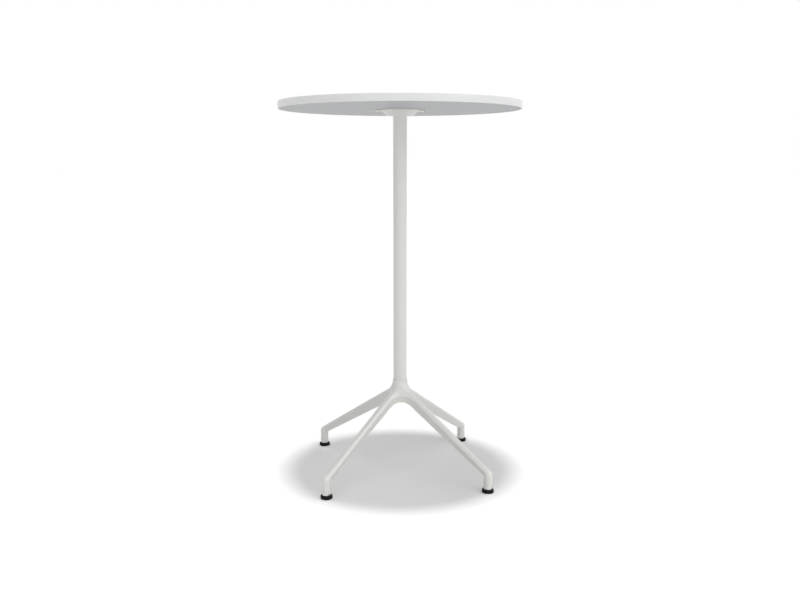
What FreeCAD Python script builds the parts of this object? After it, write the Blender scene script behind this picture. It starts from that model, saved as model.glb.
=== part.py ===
import FreeCAD, Part
import math
import os
from collections import namedtuple

from FreeCAD import Vector

# Standing meeting table: a round laminated top on one tube column, carried by a cast base with four
# arms, each ending in a short post on a screw-adjusted foot.
# Millimetres, +Z up. The origin is on the floor, under the middle of the table. The arms lie on the
# diagonals between the X and Y axes.

# Whole table
TABLE_HEIGHT = 1100.0
TOP_DIAMETER = 700.0
TOP_THICKNESS = 20.0

# Build-up of the round top
LAMINATE_THICKNESS = 0.8
EDGE_BAND_THICKNESS = 2.0
EDGE_BAND_BEVEL = 1.0

# Column and the rod that clamps the base, the column and the bracket together
COLUMN_DIAMETER = 40.0
COLUMN_WALL = 2.0
ROD_DIAMETER = 10.0
ROD_PASSAGE_DIAMETER = 11.0
ROD_END_MARGIN = 1.5
NUT_SIDES = 6
NUT_ACROSS_FLATS = 17.0
NUT_HEIGHT = 8.0
WASHER_DIAMETER = 24.0
WASHER_THICKNESS = 2.5

# Bracket under the top: a thin flange with six ears, a dish that narrows downwards, and a sleeve
EAR_COUNT = 6
EAR_CIRCLE_RADIUS = 65.0
EAR_END_RADIUS = 7.0
FLANGE_THICKNESS = 4.0
FLANGE_WAIST_RADIUS = 58.5
DISH_TOP_RADIUS = 52.4
DISH_BOTTOM_RADIUS = 38.0
DISH_DEPTH = 14.0
DISH_WALL = 3.0
SLEEVE_WALL = 3.5
ROD_BOSS_DEPTH = 8.0

# Screws that hold the bracket to the board
SCREW_DIAMETER = 4.5
SCREW_LENGTH = 17.0
SCREW_HOLE_DIAMETER = 5.2
SCREW_HEAD_DIAMETER = 9.0
SCREW_HEAD_HEIGHT = 3.0

# Hub of the base. Its rise and its depth count from the height at which the arms' ridges would meet
# on the column's axis.
HUB_COLLAR_DIAMETER = 44.0
HUB_COLLAR_RISE = 11.5
HUB_COLLAR_BEVEL = 0.6
HUB_FLARE_RADIUS = 40.0
HUB_CORE_RADIUS = 25.0
HUB_DEPTH = 55.0
HUB_UNDERSIDE_RADIUS = 26.0
SOCKET_DEPTH = 40.0
NUT_RECESS_DIAMETER = 30.0
NUT_RECESS_DEPTH = 12.0

# Arms. An arm's section has a ridge on top, a crease at its widest, and a keel below. The sizes at
# the hub hold on the column's axis, and those at the foot on the post's axis.
ARM_COUNT = 4
ARM_AZIMUTH = 45.0
FOOT_CIRCLE_RADIUS = 325.0
RIDGE_HEIGHT_AT_HUB = 269.5
RIDGE_WIDTH_AT_HUB = 14.8
RIDGE_WIDTH_AT_FOOT = 8.4
CREASE_WIDTH = 20.5
CREASE_DROP = 9.2
KEEL_WIDTH_AT_HUB = 4.6
KEEL_WIDTH_AT_FOOT = 9.2
KEEL_DEPTH_AT_HUB = 42.5
KEEL_DEPTH_AT_FOOT = 25.6
KEEL_START_RADIUS = 68.0
RIDGE_ROUND = 3.6
ARM_END_PAST_POST = 5.0

# Arches that the arms' edges make between two neighbouring arms: how far each edge stays from the
# column's axis half-way between the arms, and how far the crease has dropped there
CREASE_ARCH_REACH = 34.0
CREASE_ARCH_DROP = 34.5
RIDGE_ARCH_REACH = 26.0
KEEL_ARCH_REACH = 30.0

# The flanks are drawn past the ridge and the keel, by these shares of their own height, and then
# trimmed back to them
RIDGE_OVERRUN_AT_AXIS = 1.2
RIDGE_OVERRUN = 0.4
KEEL_OVERRUN = 0.25

# Posts and feet
POST_DIAMETER = 25.0
POST_END_HEIGHT = 16.0
KNEE_HEIGHT = 52.4
KNEE_COVER = 0.37
PAD_DIAMETER = 34.0
PAD_HEIGHT = 10.0
PAD_SOLE_DIAMETER = 30.5
PAD_SHOULDER_DIAMETER = 31.0
PAD_BEVEL_HEIGHT = 2.5
STUD_DIAMETER = 8.0
STUD_THREAD_LENGTH = 22.0
STUD_COLLAR_DIAMETER = 23.6
STUD_COLLAR_FLATS = 21.5
STUD_SPIGOT_DIAMETER = 10.0
STUD_SPIGOT_LENGTH = 6.5
INSERT_DIAMETER = 14.0
INSERT_LENGTH = 24.0

# Clearances
SEAT_GAP = 0.3
RUNNING_CLEARANCE = 0.05
FIT_CLEARANCE = 0.05

# Lengths shorter than this count as nothing when edges are picked out by place
NEARNESS = 0.01

TOP_UNDERSIDE = TABLE_HEIGHT - TOP_THICKNESS
FLANGE_UNDERSIDE = TOP_UNDERSIDE - FLANGE_THICKNESS
DISH_UNDERSIDE = FLANGE_UNDERSIDE - DISH_DEPTH
COLUMN_TOP = TOP_UNDERSIDE - ROD_BOSS_DEPTH
HUB_COLLAR_TOP = RIDGE_HEIGHT_AT_HUB + HUB_COLLAR_RISE
HUB_UNDERSIDE = RIDGE_HEIGHT_AT_HUB - HUB_DEPTH
SOCKET_FLOOR = HUB_COLLAR_TOP - SOCKET_DEPTH
HALF_WEDGE = math.pi / ARM_COUNT

# An edge line of the base. It runs straight along an arm, then round the arch to the next arm.
# half_hub and half_foot are its distances from the arm's middle plane, z_hub and z_foot its heights,
# each on the column's and on the post's axis. arch_reach and arch_z place the top of its arch.
Rail = namedtuple("Rail", "half_hub half_foot z_hub z_foot arch_reach arch_z")


def revolve(edges, degrees=360):
    """Solid turned about Z from a closed outline in the XZ plane."""
    face = Part.Face(Part.Wire(edges))
    return face.revolve(Vector(0, 0, 0), Vector(0, 0, 1), degrees)


def line(start, end):
    """Straight edge between two points."""
    return Part.LineSegment(start, end).toShape()


def ring(outer_radius, inner_radius, bottom, height):
    """Upright ring about Z."""
    outer = Part.makeCylinder(outer_radius, height, Vector(0, 0, bottom))
    return outer.cut(Part.makeCylinder(inner_radius, height, Vector(0, 0, bottom)))


def turned(shape, degrees):
    """Copy of a shape turned about the Z axis."""
    copy = shape.copy()
    copy.rotate(Vector(0, 0, 0), Vector(0, 0, 1), degrees)
    return copy


def at_foot(shape, azimuth):
    """Copy of a shape modelled on the Z axis, moved out to the post at an azimuth."""
    copy = shape.copy()
    copy.translate(Vector(FOOT_CIRCLE_RADIUS, 0, 0))
    return turned(copy, azimuth)


def arm_azimuths():
    """Azimuths of the arms, in degrees."""
    return [ARM_AZIMUTH + 360.0 / ARM_COUNT * index for index in range(ARM_COUNT)]


def ear_azimuths():
    """Azimuths of the bracket's ears, in degrees."""
    return [360.0 / EAR_COUNT * index for index in range(EAR_COUNT)]


# ---------------------------------------------------------------- round top


def pilot_holes():
    """Blind holes in the top for the bracket's screws."""
    hole = Part.makeCylinder(SCREW_DIAMETER / 2, screw_reach(), Vector(EAR_CIRCLE_RADIUS, 0, TOP_UNDERSIDE))
    return [turned(hole, azimuth) for azimuth in ear_azimuths()]


def screw_reach():
    """Length of screw that stands in the board."""
    return SCREW_LENGTH - FLANGE_THICKNESS


def board_radius():
    """Radius of the board inside its edge band."""
    return TOP_DIAMETER / 2 - EDGE_BAND_THICKNESS


def top_core():
    """Round board between its two laminate sheets."""
    height = TOP_THICKNESS - 2 * LAMINATE_THICKNESS
    board = Part.makeCylinder(board_radius(), height, Vector(0, 0, TOP_UNDERSIDE + LAMINATE_THICKNESS))
    return board.cut(pilot_holes())


def top_laminate():
    """Sheet glued on the board's upper face."""
    bottom = TABLE_HEIGHT - LAMINATE_THICKNESS
    return Part.makeCylinder(board_radius(), LAMINATE_THICKNESS, Vector(0, 0, bottom))


def top_backer():
    """Sheet glued on the board's lower face, which keeps it flat."""
    sheet = Part.makeCylinder(board_radius(), LAMINATE_THICKNESS, Vector(0, 0, TOP_UNDERSIDE))
    return sheet.cut(pilot_holes())


def edge_band():
    """Band round the board's edge, with both corners bevelled."""
    band = ring(TOP_DIAMETER / 2, board_radius(), TOP_UNDERSIDE, TOP_THICKNESS)
    corners = [edge for edge in band.Edges if edge.BoundBox.XMax > TOP_DIAMETER / 2 - NEARNESS
               and edge.BoundBox.ZLength < NEARNESS]
    return band.makeChamfer(EDGE_BAND_BEVEL, corners)


# ---------------------------------------------------------------- bracket


def tangent_point(centre, radius, other):
    """Point on a circle where it touches an arc whose centre is given, on the side of that centre."""
    return centre + (other - centre).normalize() * radius


def flange():
    """Thin plate with six rounded ears and slightly hollow sides between them."""
    step = 2 * math.pi / EAR_COUNT
    half_chord = EAR_CIRCLE_RADIUS * math.sin(step / 2)
    depth = EAR_CIRCLE_RADIUS * math.cos(step / 2) + EAR_END_RADIUS - FLANGE_WAIST_RADIUS
    side_radius = (half_chord ** 2 + depth ** 2) / (2 * depth) - EAR_END_RADIUS
    waist_centre = FLANGE_WAIST_RADIUS + side_radius
    edges = []
    for index in range(EAR_COUNT):
        angle = step * index
        ear = Vector(math.cos(angle), math.sin(angle), 0) * EAR_CIRCLE_RADIUS
        tip = Vector(math.cos(angle), math.sin(angle), 0) * (EAR_CIRCLE_RADIUS + EAR_END_RADIUS)
        before = Vector(math.cos(angle - step / 2), math.sin(angle - step / 2), 0)
        after = Vector(math.cos(angle + step / 2), math.sin(angle + step / 2), 0)
        following = Vector(math.cos(angle + step), math.sin(angle + step), 0) * EAR_CIRCLE_RADIUS
        start = tangent_point(ear, EAR_END_RADIUS, before * waist_centre)
        end = tangent_point(ear, EAR_END_RADIUS, after * waist_centre)
        side_end = tangent_point(following, EAR_END_RADIUS, after * waist_centre)
        edges.append(Part.Arc(start, tip, end).toShape())
        edges.append(Part.Arc(end, after * FLANGE_WAIST_RADIUS, side_end).toShape())
    plate = Part.Face(Part.Wire(edges)).extrude(Vector(0, 0, FLANGE_THICKNESS))
    plate.translate(Vector(0, 0, FLANGE_UNDERSIDE))
    return plate


def dish_hollow():
    """Space inside the dish, a wall's thickness in from its cone, open towards the top."""
    slope = (DISH_TOP_RADIUS - DISH_BOTTOM_RADIUS) / DISH_DEPTH
    low_radius = DISH_BOTTOM_RADIUS + slope * DISH_WALL - DISH_WALL
    high_radius = DISH_TOP_RADIUS + slope * FLANGE_THICKNESS - DISH_WALL
    height = DISH_DEPTH + FLANGE_THICKNESS - DISH_WALL
    return Part.makeCone(low_radius, high_radius, height, Vector(0, 0, DISH_UNDERSIDE + DISH_WALL))


def top_bracket():
    """Casting between the column and the top: a flange and a dish, with a sleeve for the column."""
    dish = Part.makeCone(DISH_BOTTOM_RADIUS, DISH_TOP_RADIUS, DISH_DEPTH, Vector(0, 0, DISH_UNDERSIDE))
    socket_radius = COLUMN_DIAMETER / 2 + FIT_CLEARANCE
    sleeve = Part.makeCylinder(socket_radius + SLEEVE_WALL, DISH_DEPTH + FLANGE_THICKNESS,
                               Vector(0, 0, DISH_UNDERSIDE))
    body = dish.fuse(flange()).cut(dish_hollow()).fuse(sleeve)
    socket = Part.makeCylinder(socket_radius, COLUMN_TOP - DISH_UNDERSIDE, Vector(0, 0, DISH_UNDERSIDE))
    thread = Part.makeCylinder(ROD_DIAMETER / 2, ROD_BOSS_DEPTH, Vector(0, 0, COLUMN_TOP))
    hole = Part.makeCylinder(SCREW_HOLE_DIAMETER / 2, FLANGE_THICKNESS,
                             Vector(EAR_CIRCLE_RADIUS, 0, FLANGE_UNDERSIDE))
    holes = [turned(hole, azimuth) for azimuth in ear_azimuths()]
    return body.cut([socket, thread] + holes).removeSplitter()


def bracket_screws():
    """Screws driven up through the ears into the board, with plain round heads."""
    shank = Part.makeCylinder(SCREW_DIAMETER / 2, SCREW_LENGTH, Vector(0, 0, FLANGE_UNDERSIDE))
    head = Part.makeCylinder(SCREW_HEAD_DIAMETER / 2, SCREW_HEAD_HEIGHT,
                             Vector(0, 0, FLANGE_UNDERSIDE - SCREW_HEAD_HEIGHT))
    screw = shank.fuse(head)
    screw.translate(Vector(EAR_CIRCLE_RADIUS, 0, 0))
    return Part.makeCompound([turned(screw, azimuth) for azimuth in ear_azimuths()])


# ---------------------------------------------------------------- column and tie rod


def column_tube():
    """Round tube from the hub's socket up into the bracket's sleeve."""
    radius = COLUMN_DIAMETER / 2
    return ring(radius, radius - COLUMN_WALL, SOCKET_FLOOR, COLUMN_TOP - SOCKET_FLOOR)


def recess_ceiling():
    """Height of the ceiling of the nut's recess, under the hub."""
    return HUB_UNDERSIDE + NUT_RECESS_DEPTH


def tie_rod_washer():
    """Washer between the nut and the hub."""
    bottom = recess_ceiling() - WASHER_THICKNESS
    return ring(WASHER_DIAMETER / 2, ROD_PASSAGE_DIAMETER / 2, bottom, WASHER_THICKNESS)


def tie_rod_nut():
    """Hexagon nut that pulls the rod down."""
    corner_radius = NUT_ACROSS_FLATS / 2 / math.cos(math.pi / NUT_SIDES)
    bottom = recess_ceiling() - WASHER_THICKNESS - NUT_HEIGHT
    corner = Part.Vertex(corner_radius, 0, bottom)
    corners = [turned(corner, 360.0 / NUT_SIDES * index).Point for index in range(NUT_SIDES + 1)]
    prism = Part.Face(Part.makePolygon(corners)).extrude(Vector(0, 0, NUT_HEIGHT))
    return prism.cut(Part.makeCylinder(ROD_DIAMETER / 2, NUT_HEIGHT, Vector(0, 0, bottom)))


def tie_rod():
    """Threaded rod from the nut, up the column, into the bracket's boss."""
    bottom = recess_ceiling() - WASHER_THICKNESS - NUT_HEIGHT - ROD_END_MARGIN
    height = TOP_UNDERSIDE - ROD_END_MARGIN - bottom
    return Part.makeCylinder(ROD_DIAMETER / 2, height, Vector(0, 0, bottom))


# ---------------------------------------------------------------- star base


def ridge_angle():
    """Fall of the ridge below the horizontal, so that it runs out on the knee's ball."""
    fall = RIDGE_HEIGHT_AT_HUB - KNEE_HEIGHT
    reach = POST_DIAMETER / 2 - KNEE_COVER
    return math.atan2(fall, FOOT_CIRCLE_RADIUS) - math.asin(reach / math.hypot(fall, FOOT_CIRCLE_RADIUS))


def ridge_line(radius):
    """Height of the ridge at a distance from the column's axis."""
    return RIDGE_HEIGHT_AT_HUB - radius * math.tan(ridge_angle())


def keel_line(radius):
    """Height of the keel at a distance from the column's axis."""
    at_hub = RIDGE_HEIGHT_AT_HUB - KEEL_DEPTH_AT_HUB
    at_foot = ridge_line(FOOT_CIRCLE_RADIUS) - KEEL_DEPTH_AT_FOOT
    return at_hub + (at_foot - at_hub) * radius / FOOT_CIRCLE_RADIUS


def flare_centre():
    """Centre of the arc that joins the collar to the ridge, in the plane of an arm."""
    radius = HUB_COLLAR_DIAMETER / 2 + HUB_FLARE_RADIUS
    return Vector(radius, 0, ridge_line(radius) + HUB_FLARE_RADIUS / math.cos(ridge_angle()))


def flare_height(radius):
    """Height of the flare's arc at a distance from the column's axis."""
    centre = flare_centre()
    return centre.z - math.sqrt(HUB_FLARE_RADIUS ** 2 - (centre.x - radius) ** 2)


def flare_point(angle):
    """Point of the flare's arc, by its direction from the arc's centre."""
    centre = flare_centre()
    return centre + Vector(math.cos(angle), 0, math.sin(angle)) * HUB_FLARE_RADIUS


def crease_rail():
    """The parting edge at the arms' widest."""
    half = CREASE_WIDTH / 2
    return Rail(half, half, RIDGE_HEIGHT_AT_HUB - CREASE_DROP,
                ridge_line(FOOT_CIRCLE_RADIUS) - CREASE_DROP, CREASE_ARCH_REACH,
                RIDGE_HEIGHT_AT_HUB - CREASE_ARCH_DROP)


def ridge_rail():
    """The edge beside the ridge."""
    return Rail(RIDGE_WIDTH_AT_HUB / 2, RIDGE_WIDTH_AT_FOOT / 2, RIDGE_HEIGHT_AT_HUB,
                ridge_line(FOOT_CIRCLE_RADIUS), RIDGE_ARCH_REACH, flare_height(RIDGE_ARCH_REACH))


def keel_rail():
    """The edge beside the keel."""
    return Rail(KEEL_WIDTH_AT_HUB / 2, KEEL_WIDTH_AT_FOOT / 2, keel_line(0),
                keel_line(FOOT_CIRCLE_RADIUS), KEEL_ARCH_REACH, HUB_UNDERSIDE)


def extended(base, edge, at_axis, elsewhere):
    """Rail in line with the flank from base to edge, past the edge by shares of the flank's height."""
    return Rail(edge.half_hub + (edge.half_hub - base.half_hub) * at_axis,
                edge.half_foot + (edge.half_foot - base.half_foot) * elsewhere,
                edge.z_hub + (edge.z_hub - base.z_hub) * at_axis,
                edge.z_foot + (edge.z_foot - base.z_foot) * elsewhere,
                edge.arch_reach + (edge.arch_reach - base.arch_reach) * elsewhere,
                edge.arch_z + (edge.arch_z - base.arch_z) * elsewhere)


def rail_point(rail, radius):
    """Point of a rail on the straight stretch along the arm on +X."""
    share = radius / FOOT_CIRCLE_RADIUS
    half = rail.half_hub + (rail.half_foot - rail.half_hub) * share
    return Vector(radius, half, rail.z_hub + (rail.z_foot - rail.z_hub) * share)


def arch_start(rail):
    """Distance from the column's axis where a rail leaves its arm for the arch."""
    taper = (rail.half_foot - rail.half_hub) / FOOT_CIRCLE_RADIUS
    spread = 1 / math.cos(HALF_WEDGE) - math.tan(HALF_WEDGE)
    return (rail.arch_reach - rail.half_hub) / (spread + taper)


def arch_edge(rail):
    """Half of a rail's arch, from its top to the arm: an arc in plan, easing down to the arm's slope."""
    start = rail_point(rail, arch_start(rail))
    radius = start.x * math.tan(HALF_WEDGE) - start.y
    along = (rail_point(rail, FOOT_CIRCLE_RADIUS) - start).normalize()
    across = Vector(math.sin(HALF_WEDGE), -math.cos(HALF_WEDGE), 0)
    middle = Vector(math.cos(HALF_WEDGE), math.sin(HALF_WEDGE), 0) * rail.arch_reach
    top = middle + Vector(0, 0, rail.arch_z)
    handle = 4 / 3 * math.tan((math.pi / 2 - HALF_WEDGE) / 4) * radius
    curve = Part.BezierCurve()
    curve.setPoles([top, top + across * handle, start - along * handle, start])
    return curve.toShape()


def wedge():
    """Eighth of the arms' flanks, from the middle plane of the arm on +X to the next arch's middle."""
    crease = crease_rail()
    over = extended(crease, ridge_rail(), RIDGE_OVERRUN_AT_AXIS, RIDGE_OVERRUN)
    under = extended(crease, keel_rail(), KEEL_OVERRUN, KEEL_OVERRUN)
    end = FOOT_CIRCLE_RADIUS + ARM_END_PAST_POST
    faces = []
    rims = []
    for rail in (over, crease, under):
        start = rail_point(rail, arch_start(rail))
        rims.append((arch_edge(rail), line(start, rail_point(rail, end))))
    for upper, lower in (rims[:2], rims[1:]):
        faces.extend(Part.makeRuledSurface(upper[index], lower[index]) for index in (0, 1))
    middle = []
    for rail, rim in ((over, rims[0]), (under, rims[2])):
        axis = Vector(0, 0, rail.z_hub)
        start = rail_point(rail, arch_start(rail))
        finish = rail_point(rail, end)
        branch = Vector(start.x, 0, start.z)
        tip = Vector(finish.x, 0, finish.z)
        faces.append(Part.makeRuledSurface(line(axis, branch), rim[0]))
        faces.append(Part.makeRuledSurface(line(branch, tip), rim[1]))
        middle.append([axis, branch, tip])
    ends = [rail_point(rail, end) for rail in (over, crease, under)]
    arches = [rim[0].Vertexes[0].Point for rim in rims]
    faces.append(Part.Face(Part.makePolygon(middle[0] + middle[1][::-1] + middle[0][:1])))
    faces.append(Part.Face(Part.makePolygon([middle[0][2]] + ends + [middle[1][2], middle[0][2]])))
    faces.append(Part.Face(Part.makePolygon([middle[0][0]] + arches + [middle[1][0], middle[0][0]])))
    shell = Part.makeShell(faces)
    shell.sewShape()
    return Part.makeSolid(shell)


def envelope():
    """Part turned about Z between the keels below and the ridges and the hub's flare above, for one arm."""
    rim_radius = FOOT_CIRCLE_RADIUS + POST_DIAMETER
    flat = Vector(HUB_UNDERSIDE_RADIUS, 0, HUB_UNDERSIDE)
    keel_start = Vector(KEEL_START_RADIUS, 0, keel_line(KEEL_START_RADIUS))
    curve_lead = (KEEL_START_RADIUS - HUB_UNDERSIDE_RADIUS) / 3
    curve_end = KEEL_START_RADIUS - curve_lead
    curve = Part.BezierCurve()
    curve.setPoles([flat, flat + Vector(curve_lead, 0, 0), Vector(curve_end, 0, keel_line(curve_end)),
                    keel_start])
    keel_end = Vector(rim_radius, 0, keel_line(rim_radius))
    ridge_end = Vector(rim_radius, 0, ridge_line(rim_radius))
    low_angle = -math.pi / 2 - ridge_angle()
    ridge_start = flare_point(low_angle)
    flare_top = flare_point(-math.pi)
    flare_middle = flare_point((low_angle - math.pi) / 2)
    bottom = Vector(0, 0, HUB_UNDERSIDE)
    top = Vector(0, 0, flare_top.z)
    profile = [line(bottom, flat), curve.toShape(), line(keel_start, keel_end), line(keel_end, ridge_end),
               line(ridge_end, ridge_start), Part.Arc(ridge_start, flare_middle, flare_top).toShape(),
               line(flare_top, top), line(top, bottom)]
    return turned(revolve(profile, 360 / ARM_COUNT), -math.degrees(HALF_WEDGE))


def hub_collar():
    """Short collar round the foot of the column, with its rim bevelled."""
    collar = Part.makeCylinder(HUB_COLLAR_DIAMETER / 2, HUB_COLLAR_TOP - HUB_UNDERSIDE,
                               Vector(0, 0, HUB_UNDERSIDE))
    rim = [edge for edge in collar.Edges if edge.BoundBox.ZMin > HUB_COLLAR_TOP - NEARNESS]
    return collar.makeChamfer(HUB_COLLAR_BEVEL, rim)


def hub_core():
    """Cylinder that fills the middle of the hub, up into the flare."""
    height = HUB_COLLAR_TOP - HUB_UNDERSIDE
    return Part.makeCylinder(HUB_CORE_RADIUS, height, Vector(0, 0, HUB_UNDERSIDE))


def ridge_edges(shape):
    """Edges above the crease, between the arms' ruled flanks and the surfaces turned about Z."""
    ruled_kinds = {"Part::GeomBSplineSurface", "Part::GeomBezierSurface"}
    turned_kinds = {"Part::GeomCone", "Part::GeomToroid"}
    edges = []
    for edge in shape.Edges:
        kinds = {face.Surface.TypeId for face in shape.ancestorsOfType(edge, Part.Face)}
        middle = edge.valueAt((edge.FirstParameter + edge.LastParameter) / 2)
        crease = ridge_line(math.hypot(middle.x, middle.y)) - CREASE_DROP
        if middle.z > crease and kinds & ruled_kinds and kinds & turned_kinds:
            edges.append(edge)
    return edges


def quarter():
    """One arm with its quarter of the hub, about the arm on +X."""
    eighth = wedge()
    body = envelope()
    arm = eighth.fuse(eighth.mirror(Vector(0, 0, 0), Vector(0, 1, 0))).common(body)
    return arm.fuse(hub_core().common(body))


def arms_and_hub():
    """The four arms round the hub, with their ridges rounded."""
    pieces = [turned(quarter(), azimuth) for azimuth in arm_azimuths()]
    star = pieces[0].fuse(pieces[1:] + [hub_collar()])
    return star.makeFillet(RIDGE_ROUND, ridge_edges(star))


def post():
    """Upright post with a ball on top, into which the arm runs, on the Z axis."""
    radius = POST_DIAMETER / 2
    stem = Part.makeCylinder(radius, KNEE_HEIGHT - POST_END_HEIGHT, Vector(0, 0, POST_END_HEIGHT))
    return stem.fuse(Part.makeSphere(radius, Vector(0, 0, KNEE_HEIGHT)))


def post_bore():
    """Blind bore in a post for its threaded bush, on the Z axis."""
    radius = INSERT_DIAMETER / 2 + FIT_CLEARANCE
    return Part.makeCylinder(radius, INSERT_LENGTH, Vector(0, 0, POST_END_HEIGHT))


def star_base():
    """One casting: hub, four arms, knees and posts, bored for the column, the rod and the feet."""
    solid = arms_and_hub().fuse([at_foot(post(), azimuth) for azimuth in arm_azimuths()])
    socket = Part.makeCylinder(COLUMN_DIAMETER / 2 + FIT_CLEARANCE, HUB_COLLAR_TOP - SOCKET_FLOOR,
                               Vector(0, 0, SOCKET_FLOOR))
    passage = Part.makeCylinder(ROD_PASSAGE_DIAMETER / 2, SOCKET_FLOOR - HUB_UNDERSIDE,
                                Vector(0, 0, HUB_UNDERSIDE))
    recess = Part.makeCylinder(NUT_RECESS_DIAMETER / 2, NUT_RECESS_DEPTH, Vector(0, 0, HUB_UNDERSIDE))
    bores = [at_foot(post_bore(), azimuth) for azimuth in arm_azimuths()]
    return solid.cut([socket, passage, recess] + bores)


# ---------------------------------------------------------------- feet


def foot_inserts():
    """Threaded bushes pressed into the posts, flush with their ends."""
    bush = ring(INSERT_DIAMETER / 2, STUD_DIAMETER / 2 + RUNNING_CLEARANCE, POST_END_HEIGHT, INSERT_LENGTH)
    return Part.makeCompound([at_foot(bush, azimuth) for azimuth in arm_azimuths()])


def levelling_stud():
    """Threaded stud with a collar that has two spanner flats, and a spigot in the pad, on the Z axis."""
    collar_height = POST_END_HEIGHT - SEAT_GAP - PAD_HEIGHT
    collar = Part.makeCylinder(STUD_COLLAR_DIAMETER / 2, collar_height, Vector(0, 0, PAD_HEIGHT))
    block = Part.makeBox(STUD_COLLAR_DIAMETER, STUD_COLLAR_FLATS, collar_height)
    block.translate(Vector(-STUD_COLLAR_DIAMETER / 2, -STUD_COLLAR_FLATS / 2, PAD_HEIGHT))
    spigot = Part.makeCylinder(STUD_SPIGOT_DIAMETER / 2, STUD_SPIGOT_LENGTH,
                               Vector(0, 0, PAD_HEIGHT - STUD_SPIGOT_LENGTH))
    thread_height = POST_END_HEIGHT + STUD_THREAD_LENGTH - PAD_HEIGHT
    thread = Part.makeCylinder(STUD_DIAMETER / 2, thread_height, Vector(0, 0, PAD_HEIGHT))
    return collar.common(block).fuse([spigot, thread]).removeSplitter()


def levelling_pad():
    """Low round pad, bevelled at sole and shoulder, with a blind bore for the stud, on the Z axis."""
    sole = Part.makeCone(PAD_SOLE_DIAMETER / 2, PAD_DIAMETER / 2, PAD_BEVEL_HEIGHT)
    belly = Part.makeCylinder(PAD_DIAMETER / 2, PAD_HEIGHT - 2 * PAD_BEVEL_HEIGHT,
                              Vector(0, 0, PAD_BEVEL_HEIGHT))
    shoulder = Part.makeCone(PAD_DIAMETER / 2, PAD_SHOULDER_DIAMETER / 2, PAD_BEVEL_HEIGHT,
                             Vector(0, 0, PAD_HEIGHT - PAD_BEVEL_HEIGHT))
    bore_depth = STUD_SPIGOT_LENGTH + SEAT_GAP
    bore = Part.makeCylinder(STUD_SPIGOT_DIAMETER / 2 + RUNNING_CLEARANCE, bore_depth,
                             Vector(0, 0, PAD_HEIGHT - bore_depth))
    return belly.fuse([sole, shoulder]).cut(bore)


def pieces():
    """Every piece of the table, by node name."""
    made = {
        "top_core": top_core(),
        "top_laminate": top_laminate(),
        "top_backer": top_backer(),
        "edge_band": edge_band(),
        "top_bracket": top_bracket(),
        "bracket_screws": bracket_screws(),
        "column_tube": column_tube(),
        "tie_rod": tie_rod(),
        "tie_rod_nut": tie_rod_nut(),
        "tie_rod_washer": tie_rod_washer(),
        "star_base": star_base(),
        "foot_inserts": foot_inserts(),
    }
    for number, azimuth in enumerate(arm_azimuths(), start=1):
        made[f"levelling_stud_{number}"] = at_foot(levelling_stud(), azimuth)
        made[f"levelling_pad_{number}"] = at_foot(levelling_pad(), azimuth)
    return made


os.makedirs("parts", exist_ok=True)
for node, shape in pieces().items():
    shape.exportStep(f"parts/{node}.step")
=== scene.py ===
import math

import bmesh
import bpy
import numpy as np
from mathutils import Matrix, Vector


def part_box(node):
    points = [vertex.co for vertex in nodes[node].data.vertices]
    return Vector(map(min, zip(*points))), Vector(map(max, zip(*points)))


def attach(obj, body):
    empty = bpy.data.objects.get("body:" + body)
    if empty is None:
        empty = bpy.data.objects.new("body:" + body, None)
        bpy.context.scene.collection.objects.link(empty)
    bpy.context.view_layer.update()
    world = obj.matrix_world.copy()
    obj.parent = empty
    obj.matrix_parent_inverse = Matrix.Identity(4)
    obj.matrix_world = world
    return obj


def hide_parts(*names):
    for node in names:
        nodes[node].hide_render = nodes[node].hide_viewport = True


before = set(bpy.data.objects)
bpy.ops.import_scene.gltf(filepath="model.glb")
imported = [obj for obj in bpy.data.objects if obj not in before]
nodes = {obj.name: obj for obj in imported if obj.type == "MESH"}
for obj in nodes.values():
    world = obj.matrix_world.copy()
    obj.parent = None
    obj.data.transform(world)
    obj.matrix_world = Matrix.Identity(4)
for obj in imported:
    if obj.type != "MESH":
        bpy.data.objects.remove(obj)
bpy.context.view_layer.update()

# ---------------------------------------------------------------- board and its sheets
# The round board is particle board between two thin laminate sheets, pressed on in one go. The upper
# sheet is a matt white with a fine pearl. The lower one only keeps the board flat and is a cool grey,
# darkened further as painted shade on the underside, which faces the floor.

MM = 0.001
LAMINATE_WHITE = (0.80, 0.805, 0.81)
PEARL_DEPTH = 0.02 * MM
# Cool grey of the backer, darkened as painted shade for the downward-facing underside
BACKER_GREY_WITH_PAINTED_SHADE = (0.372, 0.380, 0.388)
PRESS_DEPTH = 0.02 * MM
CHIP_LIGHT = (0.62, 0.49, 0.33)
CHIP_DARK = (0.36, 0.26, 0.16)
CHIPS_PER_METRE = 320
CHIP_FLATNESS = 3
CHIP_DEPTH = 0.3 * MM


class Signal:
    """A value inside a node tree: arithmetic on it adds Math nodes."""

    def __init__(self, tree, socket):
        self.tree = tree
        self.socket = socket

    def math(self, operation, first, second):
        """Adds one Math node."""
        return self.tree.node("ShaderNodeMath", {"operation": operation}, {0: first, 1: second})

    def __add__(self, other):
        return self.math("ADD", self, other)

    def __radd__(self, other):
        return self.math("ADD", other, self)

    def __mul__(self, other):
        return self.math("MULTIPLY", self, other)

    def __rmul__(self, other):
        return self.math("MULTIPLY", other, self)


class Wiring:
    """The nodes of a material or of the room."""

    def __init__(self, tree):
        self.tree = tree

    def node(self, kind, settings, sockets, output=0):
        """Adds a node: its settings first, then the values or links of its sockets."""
        made = self.tree.nodes.new(kind)
        for name, value in settings.items():
            setattr(made, name, value)
        for key, value in sockets.items():
            self.join(value, made.inputs[key])
        return Signal(self, made.outputs[output])

    def join(self, value, socket):
        """Links a signal to a socket, or sets the socket to a plain value."""
        if isinstance(value, Signal):
            self.tree.links.new(value.socket, socket)
        else:
            socket.default_value = value


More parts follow.
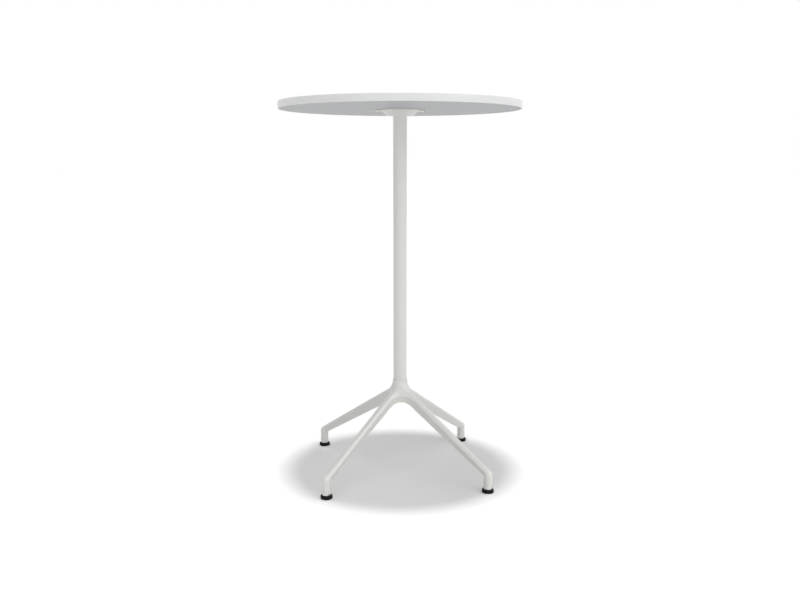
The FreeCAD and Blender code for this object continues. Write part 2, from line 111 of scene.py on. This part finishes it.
class Finish(Wiring):
    """A material round one Principled shader, which reads the object's own coordinates."""

    def __init__(self, name, **sockets):
        self.material = bpy.data.materials.new(name)
        self.material.use_nodes = True
        super().__init__(self.material.node_tree)
        self.shader = self.tree.nodes["Principled BSDF"]
        for socket, value in sockets.items():
            self.shader.inputs[socket.replace("_", " ")].default_value = value

    def place(self, stretch):
        """The point on the object, in metres, times the stretch along each axis."""
        spot = self.node("ShaderNodeTexCoord", {}, {}, "Object")
        return self.node("ShaderNodeMapping", {}, {"Vector": spot, "Scale": stretch})

    def noise(self, per_metre, detail=2.0, stretch=(1, 1, 1)):
        """Cloudy noise between 0 and 1, with that many clouds to the metre."""
        sizes = {"Vector": self.place(stretch), "Scale": per_metre, "Detail": detail}
        return self.node("ShaderNodeTexNoise", {}, sizes)

    def tones(self, mask, low, high):
        """Feeds Base Color with a blend from one colour to another."""
        # A Mix node takes its colours at inputs 6 and 7 and gives their blend at output 2
        colours = {"Factor": mask, 6: (*low, 1), 7: (*high, 1)}
        blend = self.node("ShaderNodeMix", {"data_type": "RGBA"}, colours, output=2)
        self.join(blend, self.shader.inputs["Base Color"])

    def dull(self, mask, smooth, rough):
        """Feeds Roughness with a blend from one value to another."""
        self.join(smooth + (rough - smooth) * mask, self.shader.inputs["Roughness"])

    def relief(self, height):
        """Feeds Normal with a height in metres."""
        bump = self.node("ShaderNodeBump", {}, {"Strength": 1.0, "Distance": 1.0, "Height": height})
        self.join(bump, self.shader.inputs["Normal"])


def shaded(colour, share):
    """A colour times a share."""
    return [share * part for part in colour]


def clad(finish, name):
    """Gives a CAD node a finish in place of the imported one."""
    for slot in nodes[name].material_slots:
        slot.material = finish.material


laminate = Finish("white_laminate")
pearl = laminate.noise(per_metre=1600, detail=3)
laminate.tones(laminate.noise(per_metre=5), LAMINATE_WHITE, shaded(LAMINATE_WHITE, share=0.985))
laminate.dull(pearl, smooth=0.36, rough=0.46)
laminate.relief(PEARL_DEPTH * pearl)
clad(laminate, "top_laminate")

# The underside's sheet: its grey carries painted shade
backer = Finish("grey_backer")
press = backer.noise(per_metre=900)
backer.tones(backer.noise(per_metre=4), BACKER_GREY_WITH_PAINTED_SHADE, shaded(BACKER_GREY_WITH_PAINTED_SHADE, share=0.975))
backer.dull(press, smooth=0.46, rough=0.54)
backer.relief(PRESS_DEPTH * press)
clad(backer, "top_backer")

chipboard = Finish("particle_board")
cells = {"Vector": chipboard.place((1, 1, CHIP_FLATNESS)), "Scale": CHIPS_PER_METRE}
chips = chipboard.node("ShaderNodeTexVoronoi", {}, cells, "Distance")
chipboard.tones(chips, CHIP_LIGHT, CHIP_DARK)
chipboard.dull(chips, smooth=0.8, rough=0.9)
chipboard.relief(CHIP_DEPTH * chips)
clad(chipboard, "top_core")

# ---------------------------------------------------------------- edge band
# A 2 mm plastic band is glued round the board, trimmed flush, and its corners are rounded with a
# cutter and buffed. It is a little glossier than the sheet, with faint lines along its length.

BAND_WHITE = (0.85, 0.855, 0.86)
BAND_LINE_STRETCH = 40
BAND_LINE_DEPTH = 0.01 * MM
BAND_THICKNESS = 2.0 * MM
BAND_LAP = 0.3 * MM
BAND_ROUND = 1.0 * MM
BAND_COLUMNS = 320
ROUND_STEPS = 6
TURNED_CREASE = 38
MEETING_DISTANCE = 1e-4 * MM


def outline(corners, rounds):
    """Turning profile through corners of (radius, height), each rounded over its own length: the curve
    at a corner c is the parabola (1 - t)^2 a + 2 t (1 - t) c + t^2 b between points a and b on its two
    sides, at equal distances from it."""
    corners = np.array(corners, float)
    share = np.linspace(0, 1, ROUND_STEPS)[None, :, None]
    before = np.roll(corners, 1, axis=0) - corners
    after = np.roll(corners, -1, axis=0) - corners
    trim = np.reshape(rounds, (-1, 1))
    start = corners + before / np.linalg.norm(before, axis=1, keepdims=True) * trim
    end = corners + after / np.linalg.norm(after, axis=1, keepdims=True) * trim
    curve = ((1 - share) ** 2 * start[:, None] + 2 * share * (1 - share) * corners[:, None]
             + share ** 2 * end[:, None])
    return curve.reshape(-1, 2)


def closed(profile):
    """A profile with its first point once more at its end."""
    return np.concatenate([profile, profile[:1]])


def turn(radii, heights, columns):
    """Rings about Z: point (r cos a, r sin a, z), with a radius for each height, or for each height and
    column, and the angle a running once round in equal steps."""
    angle = np.linspace(0, 2 * math.pi, columns, endpoint=False)
    radii = np.broadcast_to(np.reshape(radii, (len(heights), -1)), (len(heights), columns))
    rise = np.repeat(heights[:, None], columns, 1)
    return np.stack([radii * np.cos(angle), radii * np.sin(angle), rise], -1)


def spin(profile, columns):
    """Rings about Z through the points of a profile."""
    return turn(profile[:, 0], profile[:, 1], columns)


def dress(name, mesh, crease, finish, body, replaced):
    """Piece of a mesh: points that meet are merged, and it is shaded round over all edges but those that
    bend by more than the crease, in degrees."""
    merged = bmesh.new()
    merged.from_mesh(mesh)
    bmesh.ops.remove_doubles(merged, verts=merged.verts, dist=MEETING_DISTANCE)
    merged.to_mesh(mesh)
    merged.free()
    mesh.polygons.foreach_set("use_smooth", [True] * len(mesh.polygons))
    mesh.set_sharp_from_angle(angle=math.radians(crease))
    mesh.materials.clear()
    mesh.materials.append(finish.material)
    made = bpy.data.objects.new(name, mesh)
    bpy.context.scene.collection.objects.link(made)
    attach(made, body)
    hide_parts(replaced)
    return made


def piece(name, grids, finish, body, replaced):
    """Piece of one or more closed skins: each grid's rows join into rings and neighbouring rings into
    faces. Points meet at a pole, and where a profile closes."""
    points = np.concatenate([grid.reshape(-1, 3) for grid in grids])
    faces = []
    first = 0
    for grid in grids:
        index = first + np.arange(grid.shape[0] * grid.shape[1]).reshape(grid.shape[:2])
        ahead = np.roll(index, -1, axis=1)
        faces.append(np.stack([index[:-1], ahead[:-1], ahead[1:], index[1:]], -1).reshape(-1, 4))
        first += index.size
    mesh = bpy.data.meshes.new(name)
    mesh.from_pydata(points.tolist(), [], np.concatenate(faces).tolist())
    dress(name, mesh, TURNED_CREASE, finish, body, replaced)


band = Finish("edge_band")
lines = band.noise(per_metre=60, stretch=(1, 1, BAND_LINE_STRETCH))
band.tones(lines, BAND_WHITE, shaded(BAND_WHITE, share=0.98))
band.dull(lines, smooth=0.3, rough=0.42)
band.relief(BAND_LINE_DEPTH * lines)

low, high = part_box("edge_band")
inner = high.x - BAND_THICKNESS - BAND_LAP
profile = outline([(inner, low.z), (high.x, low.z), (high.x, high.z), (inner, high.z)],
                  [0, BAND_ROUND, BAND_ROUND, 0])
piece("edge_band_skin", [spin(closed(profile), BAND_COLUMNS)], band, "table", "edge_band")

# ---------------------------------------------------------------- column
# The column is a drawn steel tube, blasted and powder-coated off-white. The coat has flowed out to a
# satin skin with a fine orange peel.

COAT_WHITE = (0.76, 0.76, 0.73)
PEEL_DEPTH = 0.03 * MM


def powder_coat(name, waviness, shade=1.0):
    """Off-white satin coat, its colour times a painted shade: a fine peel over slow waves in the metal
    below, whose height is the waviness in metres."""
    coat = Finish(name, Specular_IOR_Level=1.0)
    peel = coat.noise(per_metre=850)
    # The coat's colour, darkened by the painted shade where one is given
    tone = shaded(COAT_WHITE, shade)
    coat.tones(coat.noise(per_metre=7), tone, shaded(tone, share=0.98))
    coat.dull(peel, smooth=0.3, rough=0.4)
    coat.relief(PEEL_DEPTH * peel + waviness * coat.noise(per_metre=55, detail=1))
    return coat


clad(powder_coat("coated_tube", waviness=0.0), "column_tube")

# ---------------------------------------------------------------- bracket
# The bracket is a metal casting with the same coat, which shows a little of the mould's unevenness. Its
# colour is darkened a little as painted shade from the board above. It sits flat under the board, and its
# sleeve takes the column's end.

# Share of the coat's colour that the bracket keeps: painted shade from the board above it
BRACKET_PAINTED_SHADE = 0.86
MOULD_WAVINESS = 0.1 * MM

clad(powder_coat("coated_bracket", MOULD_WAVINESS, BRACKET_PAINTED_SHADE), "top_bracket")

# ---------------------------------------------------------------- bracket screws
# Zinc-plated pan-head wood screws with a cross recess hold the bracket's six ears to the board. They
# are cold-headed wire with a rolled thread.

SCREW_ZINC = (0.84, 0.83, 0.80)
FILM_DEPTH = 0.01 * MM
EARS = 6
SCREW_HEAD_RADIUS = 4.5 * MM
SCREW_HEAD_HEIGHT = 3.0 * MM
SCREW_HEAD_SIDE = 1.0 * MM
SCREW_DOME_POWER = 2.6
SCREW_THREAD_RADIUS = 2.25 * MM
SCREW_PITCH = 1.8 * MM
SCREW_TIP_LENGTH = 3.0 * MM
CROSS_DEPTH = 1.7 * MM
CROSS_REACH = 2.5 * MM
CROSS_HALF_WIDTH = 0.45 * MM
CROSS_SIDE_SOFTNESS = 0.3 * MM
CROSS_END_SOFTNESS = 0.9 * MM
HEAD_COLUMNS = 96
HEAD_ROWS = 46
THREAD_COLUMNS = 48
THREAD_ROWS_PER_TURN = 12
THREAD_LAP = 1.0 * MM

# Shares of the pitch: how deep a thread is, and how wide its crest is and its two flanks together are
THREAD_DEPTH = 0.61
CREST_WIDTH = 0.12
FLANK_WIDTH = 0.63

# Share of its radius that a wood screw keeps at its very tip
TIP_BLUNTNESS = 0.15


def plating(name, tone):
    """Bright plating: metal with a fine, cloudy film."""
    plate = Finish(name, Metallic=1.0)
    film = plate.noise(per_metre=260, detail=3)
    plate.tones(film, tone, shaded(tone, share=0.86))
    plate.dull(film, smooth=0.24, rough=0.4)
    plate.relief(FILM_DEPTH * film)
    return plate


def slope(distance, softness):
    """Smooth step: 0 below zero, 1 past the softness, and 3t^2 - 2t^3 between."""
    share = np.clip(distance / softness, 0, 1)
    return share * share * (3 - 2 * share)


def thread(crest, pitch, bottom, top, tip=0.0):
    """Right-hand screw thread about Z. A wave w, at z less the share of a turn, runs from 0 at the crest to
    1 in the root and back in each pitch. The radius is the crest's less the thread's depth times
    (w - crest width) / flank width, which stays between 0 and 1. It shrinks evenly over the tip's length.
    Both ends are closed."""
    heights = np.linspace(bottom, top, int((top - bottom) / pitch * THREAD_ROWS_PER_TURN))
    turns = heights[:, None] / pitch - np.linspace(0, 1, THREAD_COLUMNS, endpoint=False)
    wave = 2 * np.abs(turns - np.round(turns))
    radii = crest - THREAD_DEPTH * pitch * np.clip((wave - CREST_WIDTH) / FLANK_WIDTH, 0, 1)
    if tip:
        taper = TIP_BLUNTNESS + (1 - TIP_BLUNTNESS) * (top - heights) / tip
        radii = radii * np.clip(taper, 0, 1)[:, None]
    radii = np.vstack([0 * radii[:1], radii, 0 * radii[:1]])
    return turn(radii, np.concatenate([heights[:1], heights, heights[-1:]]), THREAD_COLUMNS)


def screw_head(bottom):
    """Domed head, seen from below: its face rises with a power of the radius, and by the cross's depth
    where either of two crossing slots lies. Then the head's side goes up and its flat seat goes in."""
    radius = np.linspace(0, SCREW_HEAD_RADIUS, HEAD_ROWS)
    face = turn(radius, 0 * radius, HEAD_COLUMNS)
    along, across = np.abs(face[..., 0]), np.abs(face[..., 1])
    slots = [slope(CROSS_HALF_WIDTH + CROSS_SIDE_SOFTNESS / 2 - side, CROSS_SIDE_SOFTNESS)
             * slope(CROSS_REACH - reach, CROSS_END_SOFTNESS)
             for reach, side in ((along, across), (across, along))]
    rise = (radius[:, None] / SCREW_HEAD_RADIUS) ** SCREW_DOME_POWER
    face[..., 2] = bottom + (SCREW_HEAD_HEIGHT - SCREW_HEAD_SIDE) * rise + CROSS_DEPTH * np.maximum(*slots)
    seat = turn([SCREW_HEAD_RADIUS, 0], np.full(2, bottom + SCREW_HEAD_HEIGHT), HEAD_COLUMNS)
    return np.concatenate([face, seat])


low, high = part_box("bracket_screws")
ear_radius = high.x - SCREW_HEAD_RADIUS
seat_height = low.z + SCREW_HEAD_HEIGHT
screw = [screw_head(low.z),
         thread(SCREW_THREAD_RADIUS, SCREW_PITCH, seat_height - THREAD_LAP, high.z, SCREW_TIP_LENGTH)]
grids = []
for ear in range(EARS):
    angle = 2 * math.pi * ear / EARS
    offset = np.array([ear_radius * math.cos(angle), ear_radius * math.sin(angle), 0])
    grids += [skin + offset for skin in screw]
piece("pan_head_screws", grids, plating("screw_zinc", SCREW_ZINC), "table", "bracket_screws")

# ---------------------------------------------------------------- base
# Hub, arms and posts are one metal casting, ground smooth at the parting edges and coated like the column,
# which stands in a socket in the hub. The crisp creases of the arms run out softly into the hub.

CAST_CREASE = 20

# The casting keeps the solid's shape but not its normals. New ones lean to the larger faces, which keeps
# the flats flat and runs smoothly over the blends.
skin = nodes["star_base"].data.copy()
for name in {"custom_normal", "sharp_edge"} & set(skin.attributes.keys()):
    skin.attributes.remove(skin.attributes[name])
casting = dress("base_casting", skin, CAST_CREASE, powder_coat("coated_base", MOULD_WAVINESS),
                "table", "star_base")
weighted = casting.modifiers.new("weighted_normals", "WEIGHTED_NORMAL")
weighted.mode = "FACE_AREA"
weighted.keep_sharp = True

# ---------------------------------------------------------------- tie rod, nut and washer
# A zinc-plated rod with rolled threads at its ends runs up inside the column into the bracket. A hexagon
# nut on a washer, in the recess under the hub, pulls bracket, column and base together.

ROD_ZINC = (0.62, 0.63, 0.66)
ROD_RADIUS = 5.0 * MM
ROD_PITCH = 1.5 * MM
ROD_BEVEL = 0.46 * MM
ROD_LOWER_THREAD = 34.0 * MM
ROD_UPPER_THREAD = 16.0 * MM
NUT_FLAT_RADIUS = 8.5 * MM
NUT_FACE_RADIUS = 8.05 * MM
NUT_SIDE_ANGLE = math.pi / 3
NUT_CHAMFER_SLOPE = math.tan(math.radians(60))
NUT_CHAMFER_REACH = 2.0 * MM
NUT_CHAMFER_ROWS = 14
NUT_COLUMNS = 144
WASHER_BORE_RADIUS = 5.5 * MM
WASHER_ROUND = 0.4 * MM
WASHER_BORE_ROUND = 0.2 * MM
WASHER_COLUMNS = 96

rod_zinc = plating("rod_zinc", ROD_ZINC)
low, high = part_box("tie_rod")
lower_end = low.z + ROD_LOWER_THREAD
upper_end = high.z - ROD_UPPER_THREAD
plain = outline([(0, lower_end), (ROD_RADIUS, lower_end), (ROD_RADIUS, upper_end), (0, upper_end)],
                [0, ROD_BEVEL, ROD_BEVEL, 0])
piece("threaded_rod", [thread(ROD_RADIUS, ROD_PITCH, low.z, lower_end + THREAD_LAP),
                       spin(plain, THREAD_COLUMNS),
                       thread(ROD_RADIUS, ROD_PITCH, upper_end - THREAD_LAP, high.z)],
      rod_zinc, "table", "tie_rod")

# The nut's radius is the smaller of two: the hexagon's, which is that of its flats over the cosine of the
# angle from the middle of a side, and the chamfers', which grows with the distance from the nearer face.
low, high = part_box("tie_rod_nut")
heights = np.concatenate([np.linspace(low.z, low.z + NUT_CHAMFER_REACH, NUT_CHAMFER_ROWS),
                          np.linspace(high.z - NUT_CHAMFER_REACH, high.z, NUT_CHAMFER_ROWS)])
angle = np.linspace(0, 2 * math.pi, NUT_COLUMNS, endpoint=False)
hexagon = NUT_FLAT_RADIUS / np.cos(angle % NUT_SIDE_ANGLE - NUT_SIDE_ANGLE / 2)
chamfer = NUT_FACE_RADIUS + NUT_CHAMFER_SLOPE * np.minimum(heights - low.z, high.z - heights)
outside = np.minimum(hexagon[None, :], chamfer[:, None])
bore = np.full((1, NUT_COLUMNS), ROD_RADIUS)
radii = np.vstack([outside, bore, bore, outside[:1]])
rise = np.concatenate([heights, [high.z, low.z, low.z]])
piece("hexagon_nut", [turn(radii, rise, NUT_COLUMNS)], rod_zinc, "table", "tie_rod_nut")

low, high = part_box("tie_rod_washer")
profile = outline([(WASHER_BORE_RADIUS, low.z), (high.x, low.z), (high.x, high.z),
                   (WASHER_BORE_RADIUS, high.z)],
                  [WASHER_BORE_ROUND, WASHER_ROUND, WASHER_ROUND, WASHER_BORE_ROUND])
piece("plain_washer", [spin(closed(profile), WASHER_COLUMNS)], rod_zinc, "table",
      "tie_rod_washer")

# ---------------------------------------------------------------- bushes in the posts
# A brass bush, turned and tapped, is pressed into the end of each post. Only its lower face shows, dull
# yellow with the fine rings of the lathe.

BRASS = (0.72, 0.56, 0.27)
TURNING_STRETCH = 30
TURNING_DEPTH = 0.01 * MM

brass = Finish("bush_brass", Metallic=1.0)
turning = brass.noise(per_metre=90, stretch=(1, 1, TURNING_STRETCH))
brass.tones(turning, BRASS, shaded(BRASS, share=0.85))
brass.dull(turning, smooth=0.28, rough=0.38)
brass.relief(TURNING_DEPTH * turning)
clad(brass, "foot_inserts")

# ---------------------------------------------------------------- levelling studs
# Each foot has an M8 stud of nickel-plated steel with a collar, milled flat on two sides for a spanner,
# and a round spigot below that turns in the pad.

NICKEL = (0.79, 0.78, 0.75)
FEET = (1, 2, 3, 4)
STUD_RADIUS = 4.0 * MM
STUD_PITCH = 1.25 * MM
COLLAR_RADIUS = 11.8 * MM
COLLAR_HALF_FLATS = 10.75 * MM
COLLAR_BEVEL = 0.6 * MM
COLLAR_HEIGHT = 5.7 * MM
SPIGOT_RADIUS = 5.0 * MM
SPIGOT_LENGTH = 6.5 * MM
COLLAR_COLUMNS = 180


def foot_axis(low, high):
    """Where the upright axis of a foot's piece meets the floor: under the middle of its box."""
    middle = (low + high) / 2
    return np.array([middle.x, middle.y, 0])


# The flats cut a radius r back to r / max(1, r |sin a| / h), where a is the angle from the direction in
# which the flats run, outwards from the column, and h is their distance from the stud's axis.
nickel = plating("stud_nickel", NICKEL)
angle = np.linspace(0, 2 * math.pi, COLLAR_COLUMNS, endpoint=False)
for number in FEET:
    low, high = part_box(f"levelling_stud_{number}")
    axis = foot_axis(low, high)
    shoulder = low.z + SPIGOT_LENGTH
    seat = shoulder + COLLAR_HEIGHT
    profile = outline([(0, low.z), (SPIGOT_RADIUS, low.z), (SPIGOT_RADIUS, shoulder),
                       (COLLAR_RADIUS, shoulder), (COLLAR_RADIUS, seat), (0, seat)],
                      [0, COLLAR_BEVEL, 0, COLLAR_BEVEL, COLLAR_BEVEL, 0])
    across = profile[:, :1] * np.abs(np.sin(angle - math.atan2(axis[1], axis[0])))
    radii = profile[:, :1] / np.maximum(1, across / COLLAR_HALF_FLATS)
    piece(f"spindle_{number}", [turn(radii, profile[:, 1], COLLAR_COLUMNS) + axis,
                                thread(STUD_RADIUS, STUD_PITCH, seat - THREAD_LAP, high.z) + axis],
          nickel, f"stud_{number}", f"levelling_stud_{number}")

# ---------------------------------------------------------------- pads
# Each stud stands in a moulded pad of black nylon, a low drum with a bulging side. Its skin is finely
# grained, and its bore lets the spigot turn.

PAD_BLACK = (0.009, 0.009, 0.010)
GRAIN_DEPTH = 0.04 * MM
PAD_CORE_RADIUS = 12.5 * MM
PAD_BULGE_POWER = 0.62
PAD_BULGE_ROWS = 40
PAD_BORE_RADIUS = 5.05 * MM
PAD_BORE_DEPTH = 6.8 * MM
PAD_LIP = 0.4 * MM
PAD_COLUMNS = 128

nylon = Finish("black_nylon", Specular_IOR_Level=0.06)
grain = nylon.noise(per_metre=1500)
nylon.tones(nylon.noise(per_metre=40), PAD_BLACK, shaded(PAD_BLACK, share=1.7))
nylon.dull(grain, smooth=0.42, rough=0.56)
nylon.relief(GRAIN_DEPTH * grain)


def bulge(radius, low, high):
    """Profile of the side: a flattened half ellipse, with its cosine and its sine raised to one power."""
    sweep = np.linspace(-math.pi / 2, math.pi / 2, PAD_BULGE_ROWS)
    out = PAD_CORE_RADIUS + (radius - PAD_CORE_RADIUS) * np.abs(np.cos(sweep)) ** PAD_BULGE_POWER
    up = (low + high) / 2 + (high - low) / 2 * np.sign(sweep) * np.abs(np.sin(sweep)) ** PAD_BULGE_POWER
    return np.stack([out, up], axis=1)


for number in FEET:
    low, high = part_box(f"levelling_pad_{number}")
    bore_floor = high.z - PAD_BORE_DEPTH
    top = outline([(PAD_CORE_RADIUS, high.z), (PAD_BORE_RADIUS, high.z), (PAD_BORE_RADIUS, bore_floor),
                   (0, bore_floor)],
                  [0, PAD_LIP, PAD_LIP, 0])
    profile = np.concatenate([[[0, low.z]], bulge((high.x - low.x) / 2, low.z, high.z), top[1:]])
    piece(f"nylon_pad_{number}", [spin(profile, PAD_COLUMNS) + foot_axis(low, high)], nylon,
          f"pad_{number}", f"levelling_pad_{number}")

# ---------------------------------------------------------------- room, lamps and camera
# A white floor without an end, in an even white room. A lamp straight above throws the top's round
# shadow on the floor. Wide soft lamps far off, four on the right and in front and two behind, model the
# surfaces.

ROOM_GLOW = 0.16
FLOOR_REACH = 60.0
FLOOR_BOUNCE = (0.85, 0.85, 0.85)
WHITE = (1.0, 1.0, 1.0)
OVERHEAD_WIDTH = 5.2
SOFT_WIDTH = 50.0
CAMERA_DISTANCE = 2.5064
CAMERA_HEIGHT = 0.9281
CAMERA_TURN = 5.61
CAMERA_DROP = 9.686
LENS = 38.12
SENSOR_WIDTH = 36.0

# For each lamp, the degrees to the right of the camera's side, the degrees up, its strength, and its
# width in degrees
LAMPS = {
    "overhead": (0, 90, 0.45, OVERHEAD_WIDTH),
    "right": (62, 35, 0.17, SOFT_WIDTH),
    "low_right": (48, 10, 0.17, SOFT_WIDTH),
    "low_front": (-20, 10, 0.13, SOFT_WIDTH),
    "high_front": (-5, 58, 0.15, SOFT_WIDTH),
    "back_right": (125, 40, 0.12, SOFT_WIDTH),
    "back_left": (-115, 57, 0.11, SOFT_WIDTH),
}


def seen(wiring):
    """1 on the rays with which the camera or a reflection sees a thing, and 0 on those that light it."""
    return (wiring.node("ShaderNodeLightPath", {}, {}, "Is Camera Ray")
            + wiring.node("ShaderNodeLightPath", {}, {}, "Is Glossy Ray"))


def direction(turned, raised):
    """Unit vector out from the table: (sin t cos r, -cos t cos r, sin r), where t is the angle to the right
    of its front and r the angle above the floor. It is turned from the camera's side, and both are given
    in degrees."""
    turned = math.radians(turned - CAMERA_TURN)
    raised = math.radians(raised)
    return Vector((math.sin(turned) * math.cos(raised), -math.cos(turned) * math.cos(raised),
                   math.sin(raised)))


world = bpy.data.worlds.new("room")
bpy.context.scene.world = world
world.use_nodes = True
room = Wiring(world.node_tree)
background = world.node_tree.nodes["Background"]
background.inputs["Color"].default_value = (*WHITE, 1)
room.join(seen(room) * (1 - ROOM_GLOW) + ROOM_GLOW, background.inputs["Strength"])

paper = Finish("floor_paper", Roughness=1.0, Specular_IOR_Level=0.0)
paper.tones(seen(paper), FLOOR_BOUNCE, WHITE)
mesh = bpy.data.meshes.new("floor")
mesh.from_pydata([(-FLOOR_REACH, -FLOOR_REACH, 0), (FLOOR_REACH, -FLOOR_REACH, 0),
                  (FLOOR_REACH, FLOOR_REACH, 0), (-FLOOR_REACH, FLOOR_REACH, 0)], [], [(0, 1, 2, 3)])
mesh.materials.append(paper.material)
floor = bpy.data.objects.new("floor", mesh)
bpy.context.scene.collection.objects.link(floor)

for name, (turned, raised, strength, width) in LAMPS.items():
    lamp = bpy.data.lights.new(name, "SUN")
    lamp.energy = strength * math.pi
    lamp.angle = math.radians(width)
    holder = bpy.data.objects.new(name, lamp)
    holder.rotation_euler = direction(turned, raised).to_track_quat("Z", "Y").to_euler()
    bpy.context.scene.collection.objects.link(holder)

lens = bpy.data.cameras.new("camera")
lens.lens = LENS
lens.sensor_width = SENSOR_WIDTH
camera = bpy.data.objects.new("camera", lens)
camera.location = direction(0, 0) * CAMERA_DISTANCE + Vector((0, 0, CAMERA_HEIGHT))
camera.rotation_euler = (math.radians(90 - CAMERA_DROP), 0, -math.radians(CAMERA_TURN))
bpy.context.scene.collection.objects.link(camera)
bpy.context.scene.camera = camera
bpy.context.scene.view_settings.view_transform = "Standard"
